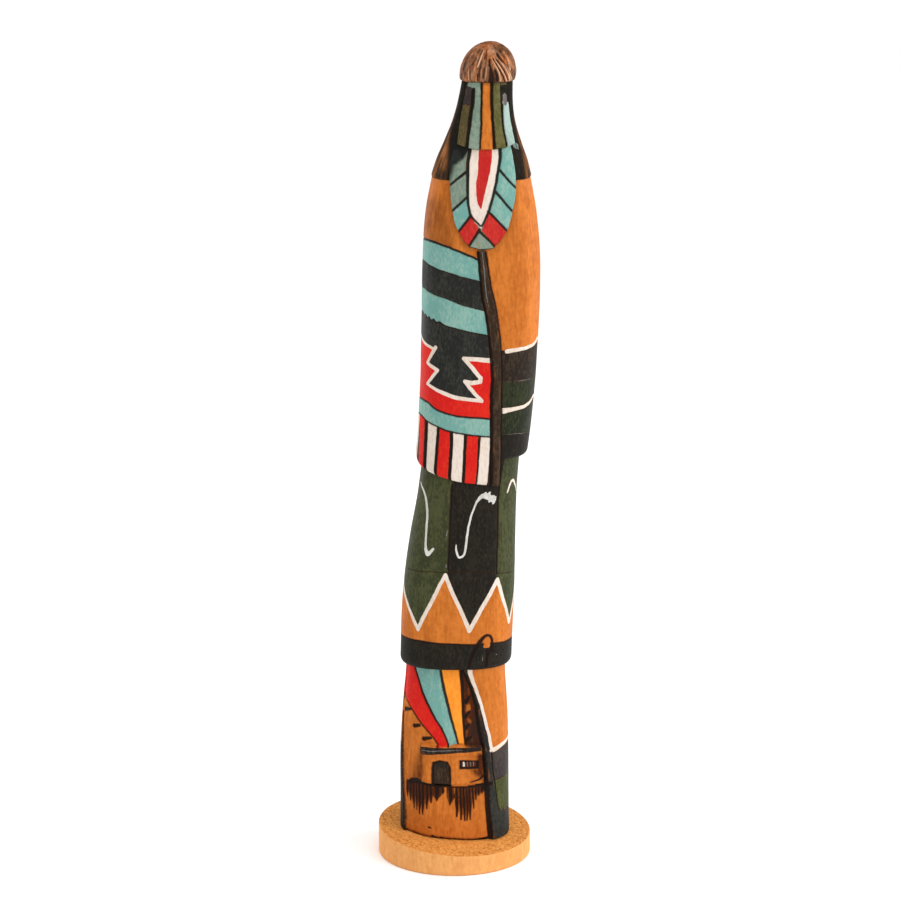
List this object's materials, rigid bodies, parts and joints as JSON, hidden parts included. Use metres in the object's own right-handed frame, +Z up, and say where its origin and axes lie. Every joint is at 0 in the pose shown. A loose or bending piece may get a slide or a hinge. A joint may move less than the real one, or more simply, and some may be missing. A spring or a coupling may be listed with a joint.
{
  "type": "carved kachina doll",
  "caption": "Slender standing figure carved from a root, stained and painted, with cap, blanket, skirt and house relief, on a round wooden disc.",
  "frame": {"origin": "centre of the round disc's flat underside", "axes": "+Z up along the figure, -Y towards the viewer who faces its front, +X to that viewer's right"},
  "size_m": [0.0624, 0.0598, 0.32],
  "materials": {
    "painted_root": "orange stain and thin matt paint in turquoise, black, red, olive and white over visible grain, with burnt lines",
    "disc_wood": "bare pale cottonwood with a matt side and a pitted sawn top"
  },
  "bodies": {
    "root": {"carved_figure": "painted_root", "round_base": "disc_wood"}
  },
  "joints": []
}
